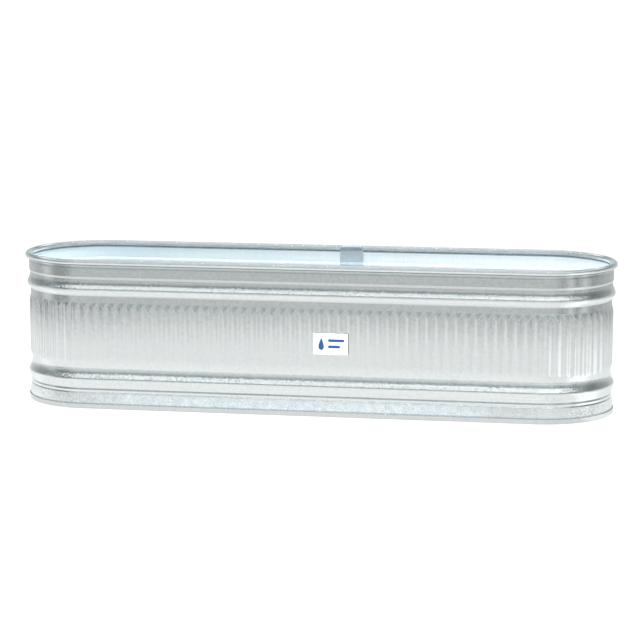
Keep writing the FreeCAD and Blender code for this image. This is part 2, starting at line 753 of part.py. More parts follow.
def make_plug_seal():
    body = new_body("drain_plug_seal")
    ring(body, "seal_ring", "dims.seal_radius", "dims.seal_bore", SEAL_START, "dims.seal_thickness")
    return body


def make_drain_plug():
    body = new_body("drain_plug")
    shank_start = COLLAR_END + " - dims.plug_shank"
    ring(body, "plug_shank", "dims.plug_radius", "", shank_start, f"{FLANGE_START} - ({shank_start})")
    ring(body, "plug_flange", "dims.flange_radius", "", FLANGE_START, "dims.flange_thickness")
    hexagon(body, "plug_head", "dims.head_flats", "", HEAD_START, "dims.head_height")
    collar_end = dim("seat_proud") + dim("gasket_thickness") + dim("collar_thickness")
    chamfer_rim(body, dim("plug_radius"), collar_end - dim("plug_shank"), "dims.shank_chamfer")
    return body


# ---------------------------------------------------------------- build and write

wall_runs = split_wall(make_wall())
floor_sheet = make_floor()
sealant = make_floor_sealant()
rim_tube = make_rim_tube()
rim_splice = make_rim_splice()

PAINT_REACH = HALF_SHEET + dim("paint_thickness")
paint_inside = make_seam_paint("zinc_paint_inside", upper_wall_path(0), -HALF_SHEET, PAINT_REACH, SHEET)
paint_outside = make_seam_paint("zinc_paint_outside", upper_wall_path(0)[:-2], PAINT_REACH, -HALF_SHEET,
                                -dim("paint_thickness"))

drain_pieces = [
    make_drain_bushing(),
    make_gasket("drain_outer_gasket", SEAT),
    make_gasket("drain_inner_gasket", SEAT_BACK + " - dims.gasket_thickness"),
    make_drain_washer(),
    make_lock_nut(),
    make_plug_seal(),
    make_drain_plug(),
]
for piece in drain_pieces:
    piece.Placement = DRAIN_FRAME

label_sheet = make_label()
doc.recompute()

pieces = wall_runs + [floor_sheet, sealant, rim_tube, rim_splice, paint_inside, paint_outside,
                      label_sheet] + drain_pieces

for item in doc.Objects:
    if "Invalid" in item.State or "Error" in item.State:
        raise RuntimeError(f"{item.Name} did not build: {item.State}")
for piece in pieces:
    shape = piece.Shape
    if shape.isNull() or not shape.isValid() or len(shape.Solids) != 1:
        raise RuntimeError(f"{piece.Label}: {len(shape.Solids)} solids, valid {shape.isValid()}")

os.makedirs("parts", exist_ok=True)
for piece in pieces:
    piece.Shape.exportStep(f"parts/{piece.Label}.step")
    box = piece.Shape.BoundBox
    print(f"{piece.Label}: {box.XLength:.1f} x {box.YLength:.1f} x {box.ZLength:.1f} mm, "
          f"{piece.Shape.Volume / 1000:.1f} cm3")
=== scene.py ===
"""Round-end galvanised stock trough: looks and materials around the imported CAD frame.

Lengths in the section tables are millimetres, scaled by MM when a mesh is made. "Proud" is a
distance outward from the face of the plain upper band, as in the CAD source.
"""
import math

import bmesh
import bpy
from mathutils import Matrix, Vector, noise


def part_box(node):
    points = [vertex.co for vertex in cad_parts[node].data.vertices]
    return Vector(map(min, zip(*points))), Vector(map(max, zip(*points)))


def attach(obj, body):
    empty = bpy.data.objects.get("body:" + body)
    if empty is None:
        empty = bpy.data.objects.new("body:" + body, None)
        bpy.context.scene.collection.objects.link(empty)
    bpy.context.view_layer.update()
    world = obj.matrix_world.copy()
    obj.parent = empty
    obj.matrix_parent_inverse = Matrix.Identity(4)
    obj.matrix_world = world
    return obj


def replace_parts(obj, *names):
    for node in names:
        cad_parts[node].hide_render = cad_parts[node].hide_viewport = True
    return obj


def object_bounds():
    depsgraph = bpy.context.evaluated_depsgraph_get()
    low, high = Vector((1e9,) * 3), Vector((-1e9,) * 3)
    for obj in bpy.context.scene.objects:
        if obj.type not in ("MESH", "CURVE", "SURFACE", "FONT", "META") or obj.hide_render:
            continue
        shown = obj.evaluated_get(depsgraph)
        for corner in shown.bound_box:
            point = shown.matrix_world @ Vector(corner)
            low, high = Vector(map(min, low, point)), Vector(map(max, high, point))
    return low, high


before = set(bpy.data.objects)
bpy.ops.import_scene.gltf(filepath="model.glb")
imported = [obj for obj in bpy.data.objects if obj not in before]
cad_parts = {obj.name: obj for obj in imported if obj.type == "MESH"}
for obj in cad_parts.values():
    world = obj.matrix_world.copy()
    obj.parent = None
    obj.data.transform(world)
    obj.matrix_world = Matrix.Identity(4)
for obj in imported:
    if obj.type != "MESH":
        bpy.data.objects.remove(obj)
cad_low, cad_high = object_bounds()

MM = 0.001
SHEET = 0.8
HALF_SHEET = SHEET / 2
RIM_RADIUS = 12
RIM_PROUD = 14

WALL_NODES = ("wall_front", "wall_right_end", "wall_rear", "wall_left_end")
HEIGHT = 610
WALL_RADIUS = round(cad_high.y / MM) - RIM_PROUD
HALF_STRAIGHT = round((cad_high.x - cad_high.y) / MM)
SIDE = 2 * HALF_STRAIGHT
END_ARC = math.pi * WALL_RADIUS
PERIMETER = 2 * (SIDE + END_ARC)
BROAD_BULGE = 0.55
SHORT_BULGE = 0.16

SIDE_FLUTES = 47
END_FLUTES = 24
FLUTE_TOP = 436
FLUTE_BOTTOM = 180
CREST = 0.8
VALLEY = -5.0
ROOT = -5.2
TOP_FADE = 26
BOTTOM_FADE = 14
TOP_SOFTNESS = 1.5
FOOT_SOFTNESS = 1.0
STEPS_PER_HALF_FLUTE = 5

DRAIN_ANGLE = math.radians(140)
DRAIN_HEIGHT = 60
SEAM_X = 102


# ------------------------------------------------------------------ sheet-metal sections
#
# A path runs along the middle of the sheet in (proud, z): lines, and arcs as
# (centre, radius, start angle, sweep). Points along it come from walk().


def rounded_path(corners):
    """The path through (proud, z, bend radius) corners, each bend a tangent arc."""
    pieces = []
    here = Vector(corners[0][:2])
    for corner_data, following_data in zip(corners[1:-1], corners[2:]):
        corner, following, radius = Vector(corner_data[:2]), Vector(following_data[:2]), corner_data[2]
        along_in = (corner - here).normalized()
        along_out = (following - corner).normalized()
        turn = math.atan2(along_in.cross(along_out), along_in.dot(along_out))
        setback = radius * math.tan(abs(turn) / 2)
        start = corner - along_in * setback
        side = math.copysign(1, turn)
        centre = start + Vector((-along_in.y, along_in.x)) * side * radius
        start_angle = math.atan2(start.y - centre.y, start.x - centre.x)
        if (start - here).length > 1e-6:
            pieces.append(("line", here, start))
        pieces.append(("arc", centre, radius, start_angle, turn))
        here = corner + along_out * setback
    pieces.append(("line", here, Vector(corners[-1][:2])))
    return pieces


def walk(path, left, arc_step=math.radians(11), line_step=24.0, line_hold=0.8):
    """Points along the path moved sideways by left, as a list of (proud, z).

    A point line_hold from each end of a line keeps its shading flat up to the bend.
    The tightest bends take longer steps.
    """
    points = []
    for kind, *data in path:
        if kind == "line":
            start, end = data
            along = (end - start).normalized()
            move = Vector((-along.y, along.x)) * left
            length = (end - start).length
            count = max(1, math.ceil(length / line_step))
            shares = [k / count for k in range(count + 1)]
            if length > 5 * line_hold:
                shares = sorted(shares + [line_hold / length, 1 - line_hold / length])
            stretch = [start.lerp(end, share) + move for share in shares]
        else:
            centre, radius, start_angle, sweep = data
            reach = radius - math.copysign(1, sweep) * left
            step = arc_step if radius > 1 else 2.5 * arc_step
            count = max(2, math.ceil(abs(sweep) / step))
            angles = [start_angle + sweep * k / count for k in range(count + 1)]
            stretch = [centre + Vector((math.cos(a), math.sin(a))) * reach for a in angles]
        points += stretch[1:] if points else stretch
    return points


# How far proud the middle of the sheet stands on each part of the wall.
PLAIN = -HALF_SHEET
BEAD = 10.2 - HALF_SHEET
GROOVE = -4.0 - HALF_SHEET
CREASE = -2.2 - HALF_SHEET
NECK = -1.5 - HALF_SHEET
FLUTE_ROOT = ROOT - HALF_SHEET


def upper_wall_path(roll_end):
    """Wall from the top of the flutes to the rolled rim; the roll ends at the angle roll_end."""
    roll_radius = RIM_RADIUS - HALF_SHEET
    roll_centre = Vector((RIM_PROUD - RIM_RADIUS, HEIGHT - RIM_RADIUS))
    root_radius = 3
    root_x = NECK - root_radius
    root_drop = math.sqrt((roll_radius + root_radius) ** 2 - (roll_centre.x - root_x) ** 2)
    root_centre = Vector((root_x, roll_centre.y - root_drop))
    to_roll = roll_centre - root_centre
    root_sweep = math.atan2(to_roll.y, to_roll.x)
    path = rounded_path((
        (FLUTE_ROOT, FLUTE_TOP, 0),
        (FLUTE_ROOT, 461, 2),
        (BEAD, 483, 18),
        (GROOVE, 514, 50),
        (GROOVE, 530, 4),
        (PLAIN, 538, 4),
        (PLAIN, 572, 4),
        (NECK, 579, 4),
        (NECK, root_centre.y, 0),
    ))
    path.append(("arc", root_centre, root_radius, 0.0, root_sweep))
    path.append(("arc", roll_centre, roll_radius, root_sweep + math.pi, roll_end - root_sweep - math.pi))
    return path


LAYER = 0.9
HEM_START = 4.0
FLARE_FOOT = 20
FLARE_TOP = 62
FOOT_CORNERS = [
    (HEM_START + 3 * LAYER, 12, 0),
    (HEM_START + 3 * LAYER, SHEET + LAYER - HALF_SHEET, LAYER),
    (HEM_START + LAYER, SHEET + LAYER - HALF_SHEET, LAYER),
    (HEM_START + LAYER, FLARE_FOOT, 4),
]
LOWER_BAND_CORNERS = [
    (PLAIN, FLARE_TOP, 3),
    (CREASE, 67, 2),
    (PLAIN, 75, 3),
    (CREASE, 83, 2),
    (PLAIN, 90, 4),
    (BEAD, 119, 18),
    (FLUTE_ROOT, 152, 60),
    (FLUTE_ROOT, FLUTE_BOTTOM, 0),
]
FLOOR_TOP = 22
FLOOR_MARGIN = 21
FLOOR_PATH = rounded_path((
    (-FLOOR_MARGIN, FLOOR_TOP - HALF_SHEET, 0),
    (HEM_START, FLOOR_TOP - HALF_SHEET, 5),
    (HEM_START, HALF_SHEET, 0.8),
    (HEM_START + 4 * LAYER, HALF_SHEET, 0.8),
    (HEM_START + 4 * LAYER, 19.2 - HALF_SHEET, LAYER),
    (HEM_START + 2 * LAYER, 19.2 - HALF_SHEET, LAYER),
    (HEM_START + 2 * LAYER, 4, 0),
))
ROLL_END = math.radians(-95)


# ------------------------------------------------------------------ going round the plan


def plan_columns(steps_side, steps_end):
    """Stations round the stadium, anticlockwise from the front left: (centre, outward, travel)."""
    half = []
    for k in range(steps_side):
        travel = SIDE * k / steps_side
        half.append((Vector((travel - HALF_STRAIGHT, 0)), Vector((0, -1)), travel))
    for k in range(steps_end):
        angle = math.pi * (k / steps_end - 0.5)
        half.append((Vector((HALF_STRAIGHT, 0)), Vector((math.cos(angle), math.sin(angle))),
                     SIDE + END_ARC * k / steps_end))
    return half + [(-centre, -outward, travel + SIDE + END_ARC) for centre, outward, travel in half]


def on_plan(column, proud, z):
    centre, outward, _ = column
    place = centre + outward * (WALL_RADIUS + proud)
    return Vector((place.x, place.y, z))


def unevenness(column, z):
    """How far the sheet bulges off its true shape, in mm: long soft waves, as thin sheet has."""
    centre, outward, _ = column
    place = centre + outward * WALL_RADIUS
    broad = noise.noise(Vector((place.x / 210, place.y / 210, z / 95)))
    short = noise.noise(Vector((place.x / 60 + 17, place.y / 60, z / 45)))
    return BROAD_BULGE * broad + SHORT_BULGE * short


def new_object(name, mesh, body="tank", smooth=True):
    if smooth:
        mesh.shade_smooth()
    obj = bpy.data.objects.new(name, mesh)
    bpy.context.scene.collection.objects.link(obj)
    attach(obj, body)
    return obj


class Skin:
    """Collects vertices and faces with a travel/height coordinate on every face corner."""

    def __init__(self):
        self.points = []
        self.faces = []
        self.corners = []

    def row(self, places):
        first = len(self.points)
        self.points += [place * MM for place in places]
        return first

    def face(self, vertices, corners):
        self.faces.append(vertices)
        self.corners += corners

    def mesh(self, name):
        mesh = bpy.data.meshes.new(name)
        mesh.from_pydata(self.points, [], self.faces)
        layer = mesh.uv_layers.new(name="sheet")
        flat = [value * MM for corner in self.corners for value in corner]
        layer.uv.foreach_set("vector", flat)
        mesh.update()
        return mesh


def join_rows(skin, first_a, columns_a, height_a, first_b, columns_b, height_b):
    """Faces between two closed rows; one row may have more columns than the other."""
    count_a, count_b = len(columns_a), len(columns_b)
    fine, coarse = max(count_a, count_b), min(count_a, count_b)
    if fine == coarse:
        starts = list(range(fine)) + [fine]
    else:
        big = columns_a if count_a > count_b else columns_b
        small = columns_b if count_a > count_b else columns_a
        travels = {round(column[2], 3): k for k, column in enumerate(big)}
        starts = [travels[round(column[2], 3)] for column in small] + [fine]

    def stretch(first, columns, height, k):
        low, high = (k, k + 1) if len(columns) == coarse else (starts[k], starts[k + 1])
        indices = range(low, high + 1)
        travel = [columns[i][2] if i < len(columns) else PERIMETER for i in indices]
        return [first + i % len(columns) for i in indices], [(value, height) for value in travel]

    for k in range(coarse):
        ids_a, corners_a = stretch(first_a, columns_a, height_a, k)
        ids_b, corners_b = stretch(first_b, columns_b, height_b, k)
        skin.face(ids_a + ids_b[::-1], corners_a + corners_b[::-1])


def carry_round(name, outline, columns):
    """A closed outline in (proud, z) carried round the plan as one closed mesh."""
    skin = Skin()
    travel = [0.0]
    for here, following in zip(outline, outline[1:] + outline[:1]):
        travel.append(travel[-1] + (following - here).length)
    firsts = [skin.row([on_plan(column, proud, z) for column in columns]) for proud, z in outline]
    for k in range(len(outline)):
        following = (k + 1) % len(outline)
        join_rows(skin, firsts[k], columns, travel[k], firsts[following], columns, travel[k + 1])
    return skin.mesh(name)


# ------------------------------------------------------------------ the wall sheet

COARSE = plan_columns(SIDE_FLUTES, 2 * END_FLUTES)
FINE = plan_columns(2 * SIDE_FLUTES * STEPS_PER_HALF_FLUTE, 2 * END_FLUTES * STEPS_PER_HALF_FLUTE)


def soft_min(a, b, width):
    blend = max(width - abs(a - b), 0) / width
    return min(a, b) - blend * blend * width / 4


def flute_proud(travel, z):
    """The pressed flutes: a wave that runs out into the plain wall above and below it."""
    run_start = 0.0
    for length, flutes in ((SIDE, SIDE_FLUTES), (END_ARC, END_FLUTES)) * 2:
        if travel < run_start + length - 1e-6:
            break
        run_start += length
    phase = 2 * math.pi * flutes * (travel - run_start) / length
    wave = (CREST + VALLEY) / 2 + (CREST - VALLEY) / 2 * math.sin(phase)
    top = ROOT + (CREST - ROOT) * (FLUTE_TOP - z) / TOP_FADE
    foot = ROOT + (CREST - ROOT) * (z - FLUTE_BOTTOM) / BOTTOM_FADE
    return soft_min(soft_min(wave, top, TOP_SOFTNESS), foot, FOOT_SOFTNESS)


FLUTE_HEIGHTS = ([FLUTE_BOTTOM + step for step in (2.5, 5.5, 8.5, 11.5, 14, 18)]
                 + [300]
                 + [FLUTE_TOP - step for step in (33, 28, 25, 21, 16, 11, 5)])


def wall_rows():
    """The wall's closed section as rows: (columns, proud for each column, z)."""
    lower = rounded_path(FOOT_CORNERS + LOWER_BAND_CORNERS)
    upper = upper_wall_path(ROLL_END)
    rows = []
    for left, inset in ((-HALF_SHEET, 0.0), (HALF_SHEET, SHEET)):
        side_rows = []
        for proud, z in walk(lower, left):
            side_rows.append((COARSE, [proud + unevenness(c, z) for c in COARSE], z))
        for z in FLUTE_HEIGHTS:
            pressed = [flute_proud(c[2], z) - inset + unevenness(c, z) for c in FINE]
            side_rows.append((FINE, pressed, z))
        for proud, z in walk(upper, left):
            side_rows.append((COARSE, [proud + unevenness(c, z) for c in COARSE], z))
        rows += side_rows if left < 0 else side_rows[::-1]
    return rows


def drain_matrix():
    """From the drain's own frame, +Z out of the trough and +Y up, to the row frame."""
    out = Vector((math.cos(DRAIN_ANGLE), math.sin(DRAIN_ANGLE), 0))
    up = Vector((0, 0, 1))
    point = Vector((-HALF_STRAIGHT, 0, DRAIN_HEIGHT)) + out * WALL_RADIUS
    turn = Matrix((up.cross(out), up, out)).transposed().to_4x4()
    return Matrix.Translation(point * MM) @ turn @ Matrix.Scale(MM, 4)


LATHE_STEPS = 96
LATHE_TRAVEL_RADIUS = 20
LATHE_FACE_TRAVEL = 6


def lathe(name, outline):
    """A closed (radius, z) outline turned about Z, with travel/height coordinates."""
    skin = Skin()
    turns = [2 * math.pi * k / LATHE_STEPS for k in range(LATHE_STEPS)]
    for radius, z in outline:
        skin.row([Vector((radius * math.cos(a), radius * math.sin(a), z)) for a in turns])
    for k in range(len(outline)):
        following = (k + 1) % len(outline)
        low, high = outline[k][1], outline[following][1]
        for j, turn in enumerate(turns):
            beside = (j + 1) % LATHE_STEPS
            left = LATHE_TRAVEL_RADIUS * turn
            right = left + LATHE_FACE_TRAVEL
            skin.face([k * LATHE_STEPS + j, k * LATHE_STEPS + beside,
                       following * LATHE_STEPS + beside, following * LATHE_STEPS + j],
                      [(left, low), (right, low), (right, high), (left, high)])
    mesh = skin.mesh(name)
    mesh.transform(Matrix.Scale(1 / MM, 4))
    return mesh


SEAT_PROUD = 6
SEAT_RADIUS = 33
SEAT_FLARE = 7
SEAT_SKIRT = 13
SEAT_SLOPE = SEAT_FLARE / SEAT_SKIRT
SEAT_BASE = -4.4
HOLE_RADIUS = 21.2


def open_for_seat(wall):
    """Takes the sheet away where the drain's seat is pressed out of it."""
    inner = SEAT_RADIUS - SHEET
    mesh = lathe("seat_cutter", [
        (0.01, -SEAT_SKIRT), (inner + SEAT_SLOPE * (SEAT_PROUD + SEAT_SKIRT), -SEAT_SKIRT),
        (inner, SEAT_PROUD), (0.01, SEAT_PROUD)])
    cutter = bpy.data.objects.new("seat_cutter", mesh)
    bpy.context.scene.collection.objects.link(cutter)
    cutter.matrix_world = drain_matrix()
    cut = wall.modifiers.new("seat", "BOOLEAN")
    cut.operation = "DIFFERENCE"
    cut.solver = "EXACT"
    cut.object = cutter
    bpy.context.view_layer.update()
    graph = bpy.context.evaluated_depsgraph_get()
    cut_mesh = bpy.data.meshes.new_from_object(wall.evaluated_get(graph), depsgraph=graph)
    wall.modifiers.clear()
    wall.data = cut_mesh
    bpy.data.objects.remove(cutter)


def add_seat(wall):
    """Joins the drain's pressed seat to the wall's mesh."""
    skirt_radius = SEAT_RADIUS + SEAT_SLOPE * (SEAT_PROUD - SEAT_BASE)
    mesh = lathe("seat", [
        (HOLE_RADIUS, SEAT_PROUD - SHEET), (HOLE_RADIUS, SEAT_PROUD),
        (SEAT_RADIUS - 1.5, SEAT_PROUD), (SEAT_RADIUS - 0.4, SEAT_PROUD - 0.3),
        (SEAT_RADIUS + 0.5, SEAT_PROUD - 1.4),
        (skirt_radius, SEAT_BASE), (skirt_radius - SHEET, SEAT_BASE),
        (SEAT_RADIUS - 0.5, SEAT_PROUD - SHEET - 1.2),
        (SEAT_RADIUS - 1.5, SEAT_PROUD - SHEET)])
    mesh.transform(drain_matrix())
    merged = bmesh.new()
    merged.from_mesh(wall.data)
    merged.from_mesh(mesh)
    merged.to_mesh(wall.data)
    merged.free()
    wall.data.shade_smooth()


def make_wall():
    """The wall sheet with its beads, flutes, rolled rim and hook, and the drain's pressed seat."""
    skin = Skin()
    rows = wall_rows()
    heights = [0.0]
    for (_, _, z_a), (_, _, z_b) in zip(rows, rows[1:]):
        heights.append(heights[-1] + abs(z_b - z_a) + 0.5)
    firsts = [skin.row([on_plan(c, p, z) for c, p in zip(columns, proud)]) for columns, proud, z in rows]
    for k in range(len(rows)):
        following = (k + 1) % len(rows)
        join_rows(skin, firsts[k], rows[k][0], heights[k], firsts[following], rows[following][0],
                  heights[following] if following else heights[k] + SHEET)
    wall = new_object("wall", skin.mesh("wall"))
    open_for_seat(wall)
    add_seat(wall)
    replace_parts(wall, *WALL_NODES)
    inside_from = heights[len(rows) // 2] * MM
    wall.data.materials.append(galvanised("galvanised_wall", inside_from=inside_from, painted_shade=WALL_PAINTED_SHADE))


# ------------------------------------------------------------------ the floor

FLOOR_SIDE_STEPS = 24
FLOOR_END_STEPS = 96
FLOOR_RINGS = 10


def turn_faces_out(mesh):
    build = bmesh.new()
    build.from_mesh(mesh)
    bmesh.ops.recalc_face_normals(build, faces=build.faces)
    build.to_mesh(mesh)
    build.free()


def floor_rise(column, ring):
    """How far the floor sheet stands off flat, in mm, at one station of one ring."""
    by_ring = noise.noise(Vector((ring * 0.8, 3.1, 0))) * math.sin(math.pi * ring / FLOOR_RINGS)
    local = noise.noise(Vector((column[0].x / 330 + 5, column[1].y * 0.8, ring * 0.5)))
    return 1.2 * by_ring + 0.9 * local


def close_floor(skin, columns, edge_row, z, travel):
    """Rings of faces from the edge row inward, then faces across the trough's middle line."""
    row = edge_row
    for ring in range(1, FLOOR_RINGS):
        proud = -FLOOR_MARGIN - (WALL_RADIUS - FLOOR_MARGIN) * ring / FLOOR_RINGS
        inner_row = skin.row([on_plan(c, proud, z + floor_rise(c, ring)) for c in columns])
        join_rows(skin, row, columns, travel, inner_row, columns, travel + 10)
        row = inner_row
    right_end = FLOOR_SIDE_STEPS
    rear = right_end + FLOOR_END_STEPS
    left_end = rear + FLOOR_SIDE_STEPS
    for k in range(FLOOR_SIDE_STEPS):
        opposite = row + left_end - k
        skin.face([row + k, row + k + 1, opposite - 1, opposite], [(0, 0), (1, 0), (1, 1), (0, 1)])
    for start in (left_end, right_end):
        end = [row + (start + k) % len(columns) for k in range(FLOOR_END_STEPS + 1)]
        skin.face(end, [(0, 0)] * len(end))


def make_floor():
    """The floor sheet: flat middle, turned down inside the wall and folded round it as the hem."""
    outline = walk(FLOOR_PATH, -HALF_SHEET) + walk(FLOOR_PATH, HALF_SHEET)[::-1]
    columns = plan_columns(FLOOR_SIDE_STEPS, FLOOR_END_STEPS)
    skin = Skin()
    firsts = [skin.row([on_plan(c, proud, z) for c in columns]) for proud, z in outline]
    travel = 0.0
    for k in range(len(outline) - 1):
        step = (outline[k + 1] - outline[k]).length
        join_rows(skin, firsts[k], columns, travel, firsts[k + 1], columns, travel + step)
        travel += step
    for edge_row, z in ((firsts[-1], FLOOR_TOP), (firsts[0], FLOOR_TOP - SHEET)):
        close_floor(skin, columns, edge_row, z, travel)
    mesh = skin.mesh("floor")
    turn_faces_out(mesh)
    floor_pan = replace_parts(new_object("floor_pan", mesh), "floor_sheet")
    floor_pan.data.materials.append(galvanised("galvanised_floor", spangle_mm=14, streaks=False,
                                               painted_shade=HEM_PAINTED_SHADE))


# ------------------------------------------------------------------ zinc paint over the side seam

PAINT_HALF_WIDTH = 50
PAINT_COLUMNS = 33
PAINT_FOOT = 31
PAINT_FRONT = 0.34
PAINT_EDGE = 0.08
PAINT_BACK = 0.02


def paint_half_width(z, edge):
    """Brushed edges: the painted strip wanders, and narrows over the rim."""
    narrowing = 6 * max(0.0, (z - 580) / 30)
    wander = 4.0 * noise.noise(Vector((edge * 7.3, z / 26, 0)))
    bristles = 1.6 * noise.noise(Vector((edge * 3.1, z / 7, 4)))
    return PAINT_HALF_WIDTH - narrowing + wander + bristles


def paint_rows(left):
    """The rows of the paint up one side of the sheet, as (on the flutes, proud, z).

    Inside, it goes over the rim. Outside, it stops under the rim.
    """
    foot = ("line", Vector(foot_edge()), Vector((PLAIN, FLARE_TOP)))
    band = rounded_path([(PLAIN, FLARE_TOP, 0)] + LOWER_BAND_CORNERS[1:])
    upper = upper_wall_path(0.0) if left > 0 else upper_wall_path(0.0)[:-2]
    rows = [(False, proud, z) for proud, z in walk([foot] + band, left)]
    rows += [(True, 0.0, z) for z in FLUTE_HEIGHTS]
    rows += [(False, proud, z) for proud, z in walk(upper, left)]
    return rows


def close_paint(skin, firsts):
    """Faces over the front rows and the back rows, then round their edges."""
    def quad(*vertices):
        skin.face(list(vertices), [(skin.points[v].x / MM, skin.points[v].z / MM) for v in vertices])

    count = len(firsts) // 2
    front, back = firsts[:count], firsts[count:]
    last = PAINT_COLUMNS - 1
    for layer in (front, back):
        for low, high in zip(layer, layer[1:]):
            for k in range(last):
                quad(low + k, low + k + 1, high + k + 1, high + k)
    for r in range(count - 1):
        for k in (0, last):
            quad(front[r] + k, front[r + 1] + k, back[r + 1] + k, back[r] + k)
    for r in (0, count - 1):
        for k in range(last):
            quad(front[r] + k, front[r] + k + 1, back[r] + k + 1, back[r] + k)


def make_seam_paint(name, node, left, material):
    """A thin brushed skin over the seam on the rear wall, on one side of the sheet."""
    outside = left < 0
    inset = 0.0 if outside else SHEET
    rows = paint_rows(left)
    skin = Skin()
    firsts = []
    for front in (True, False):
        for index, (pressed, proud, z) in enumerate(rows):
            before, after = rows[max(index - 1, 0)], rows[min(index + 1, len(rows) - 1)]
            along = Vector((after[1] - before[1], after[2] - before[2]))
            if pressed or along.length < 1e-6:
                along = Vector((0.0, 1.0))
            along.normalize()
            normal = Vector((along.y, -along.x)) * (1 if outside else -1)
            width_left, width_right = (paint_half_width(z + index * 0.01, edge) for edge in (0, 1))
            places = []
            for k in range(PAINT_COLUMNS):
                share = k / (PAINT_COLUMNS - 1)
                x = SEAM_X - width_left + (width_left + width_right) * share
                column = (Vector((x, 0)), Vector((0, 1)), SIDE + END_ARC + (HALF_STRAIGHT - x))
                surface = flute_proud(column[2], z) - inset if pressed else proud
                full = min(1.0, 4 * min(share, 1 - share) + 0.15)
                lift = PAINT_EDGE + (PAINT_FRONT - PAINT_EDGE) * full if front else PAINT_BACK
                places.append(on_plan(column, surface + unevenness(column, z) + normal.x * lift,
                                      z + normal.y * lift))
            firsts.append(skin.row(places))
    close_paint(skin, firsts)
    mesh = skin.mesh(name)
    turn_faces_out(mesh)
    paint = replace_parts(new_object(name, mesh), node)
    paint.data.materials.append(material)


def foot_edge():
    """The lower edge of the seam paint, on the flared foot."""
    share = (PAINT_FOOT - FLARE_FOOT) / (FLARE_TOP - FLARE_FOOT)
    wide = HEM_START + LAYER
    return wide + (PLAIN - wide) * share, PAINT_FOOT


# ------------------------------------------------------------------ materials


class Nodes:
    """A short way to build a node tree."""

    def __init__(self, tree):
        self.tree = tree

    def add(self, kind, settings=None, **inputs):
        node = self.tree.nodes.new(kind)
        for key, value in (settings or {}).items():
            setattr(node, key, value)
        for key, value in inputs.items():
            self.put(node, key, value)
        return node

    def put(self, node, key, value):
        """Sets or links one input, named as in Blender with _ for a space, or i and its number."""
        numbered = key[0] == "i" and key[1:].isdigit()
        socket = node.inputs[int(key[1:])] if numbered else node.inputs[key.replace("_", " ")]
        if isinstance(value, bpy.types.NodeSocket):
            self.tree.links.new(value, socket)
        else:
            socket.default_value = value

    def object_space(self):
        return self.add("ShaderNodeTexCoord").outputs["Object"]

    def stretched(self, source, scale):
        return self.add("ShaderNodeMapping", Vector=source, Scale=scale).outputs["Vector"]

    def sheet(self, scale):
        """Travel along the sheet and height up it, from Skin's coordinates."""
        return self.stretched(self.add("ShaderNodeUVMap", {"uv_map": "sheet"}).outputs["UV"], scale)

    def axis(self, vector, name):
        return self.add("ShaderNodeSeparateXYZ", Vector=vector).outputs[name]

    def noise(self, vector, scale, detail=3.0, roughness=0.55):
        return self.add("ShaderNodeTexNoise", Vector=vector, Scale=scale, Detail=detail,
                        Roughness=roughness).outputs["Fac"]

    def cells(self, vector, scale):
        return self.add("ShaderNodeTexVoronoi", {"feature": "F1"}, Vector=vector,
                        Scale=scale).outputs["Color"]

    def spread(self, value, low, high, out_low, out_high):
        return self.add("ShaderNodeMapRange", Value=value, From_Min=low, From_Max=high,
                        To_Min=out_low, To_Max=out_high).outputs["Result"]

    def near(self, value, centre, inner, outer, amount):
        """amount within inner of centre, falling to 0 at outer."""
        distance = self.math("ABSOLUTE", self.math("SUBTRACT", value, centre))
        return self.spread(distance, inner, outer, amount, 0.0)

    def math(self, operation, a, b=0.0):
        return self.add("ShaderNodeMath", {"operation": operation}, i0=a, i1=b).outputs[0]

    def times(self, a, b):
        return self.math("MULTIPLY", a, b)

    def vectors(self, operation, **inputs):
        return self.add("ShaderNodeVectorMath", {"operation": operation}, **inputs).outputs[0]

    def mix(self, fac, a, b, blend="MIX"):
        node = self.add("ShaderNodeMix", {"data_type": "RGBA", "blend_type": blend})
        self.put(node, "i0", fac)
        self.put(node, "i6", a)
        self.put(node, "i7", b)
        return node.outputs[2]

    def ramp(self, value, stops):
        """A colour ramp over value in 0 to 1, its stops (position, (red, green, blue))."""
        node = self.add("ShaderNodeValToRGB", Fac=value)
        ramp = node.color_ramp
        while len(ramp.elements) < len(stops):
            ramp.elements.new(0.5)
        for element, (position, colour) in zip(ramp.elements, stops):
            element.position = position
            element.color = (*colour, 1)
        return node.outputs["Color"]

    def bump(self, height, strength, distance):
        return self.add("ShaderNodeBump", Height=height, Strength=strength,
                        Distance=distance).outputs["Normal"]


class Material(Nodes):
    """A material's node tree, which ends in its Principled BSDF."""

    def __init__(self, name):
        self.material = bpy.data.materials.new(name)
        self.material.use_nodes = True
        super().__init__(self.material.node_tree)
        self.shader = self.tree.nodes["Principled BSDF"]

    def set(self, **inputs):
        for key, value in inputs.items():
            self.put(self.shader, key, value)
        return self.material


def painted_shade_stops(*stops):
    """Ramp stops from (height in metres, share of the light kept): painted shade, the zinc's colour
    darkened in bands by height.
    """
    return tuple((z, (share, 1.01 * share, 1.01 * share)) for z, share in stops)


# Painted shade: the wall's outside is darkened in bands up its height, in place of the darker reflections
# there.
WALL_PAINTED_SHADE = painted_shade_stops((0.17, 1.0), (0.21, 0.91), (0.34, 0.91), (0.43, 0.8), (0.461, 0.8),
                           (0.468, 1.0), (0.497, 1.0), (0.507, 0.8), (0.574, 0.8), (0.586, 1.0))
# Painted shade: the hem is darkened, with a painted contact shadow just above the ground.
HEM_PAINTED_SHADE = painted_shade_stops((0.001, 0.62), (0.004, 0.82), (0.0195, 0.82), (0.021, 1.0))
HALVES = (0.5, 0.5, 0.5)


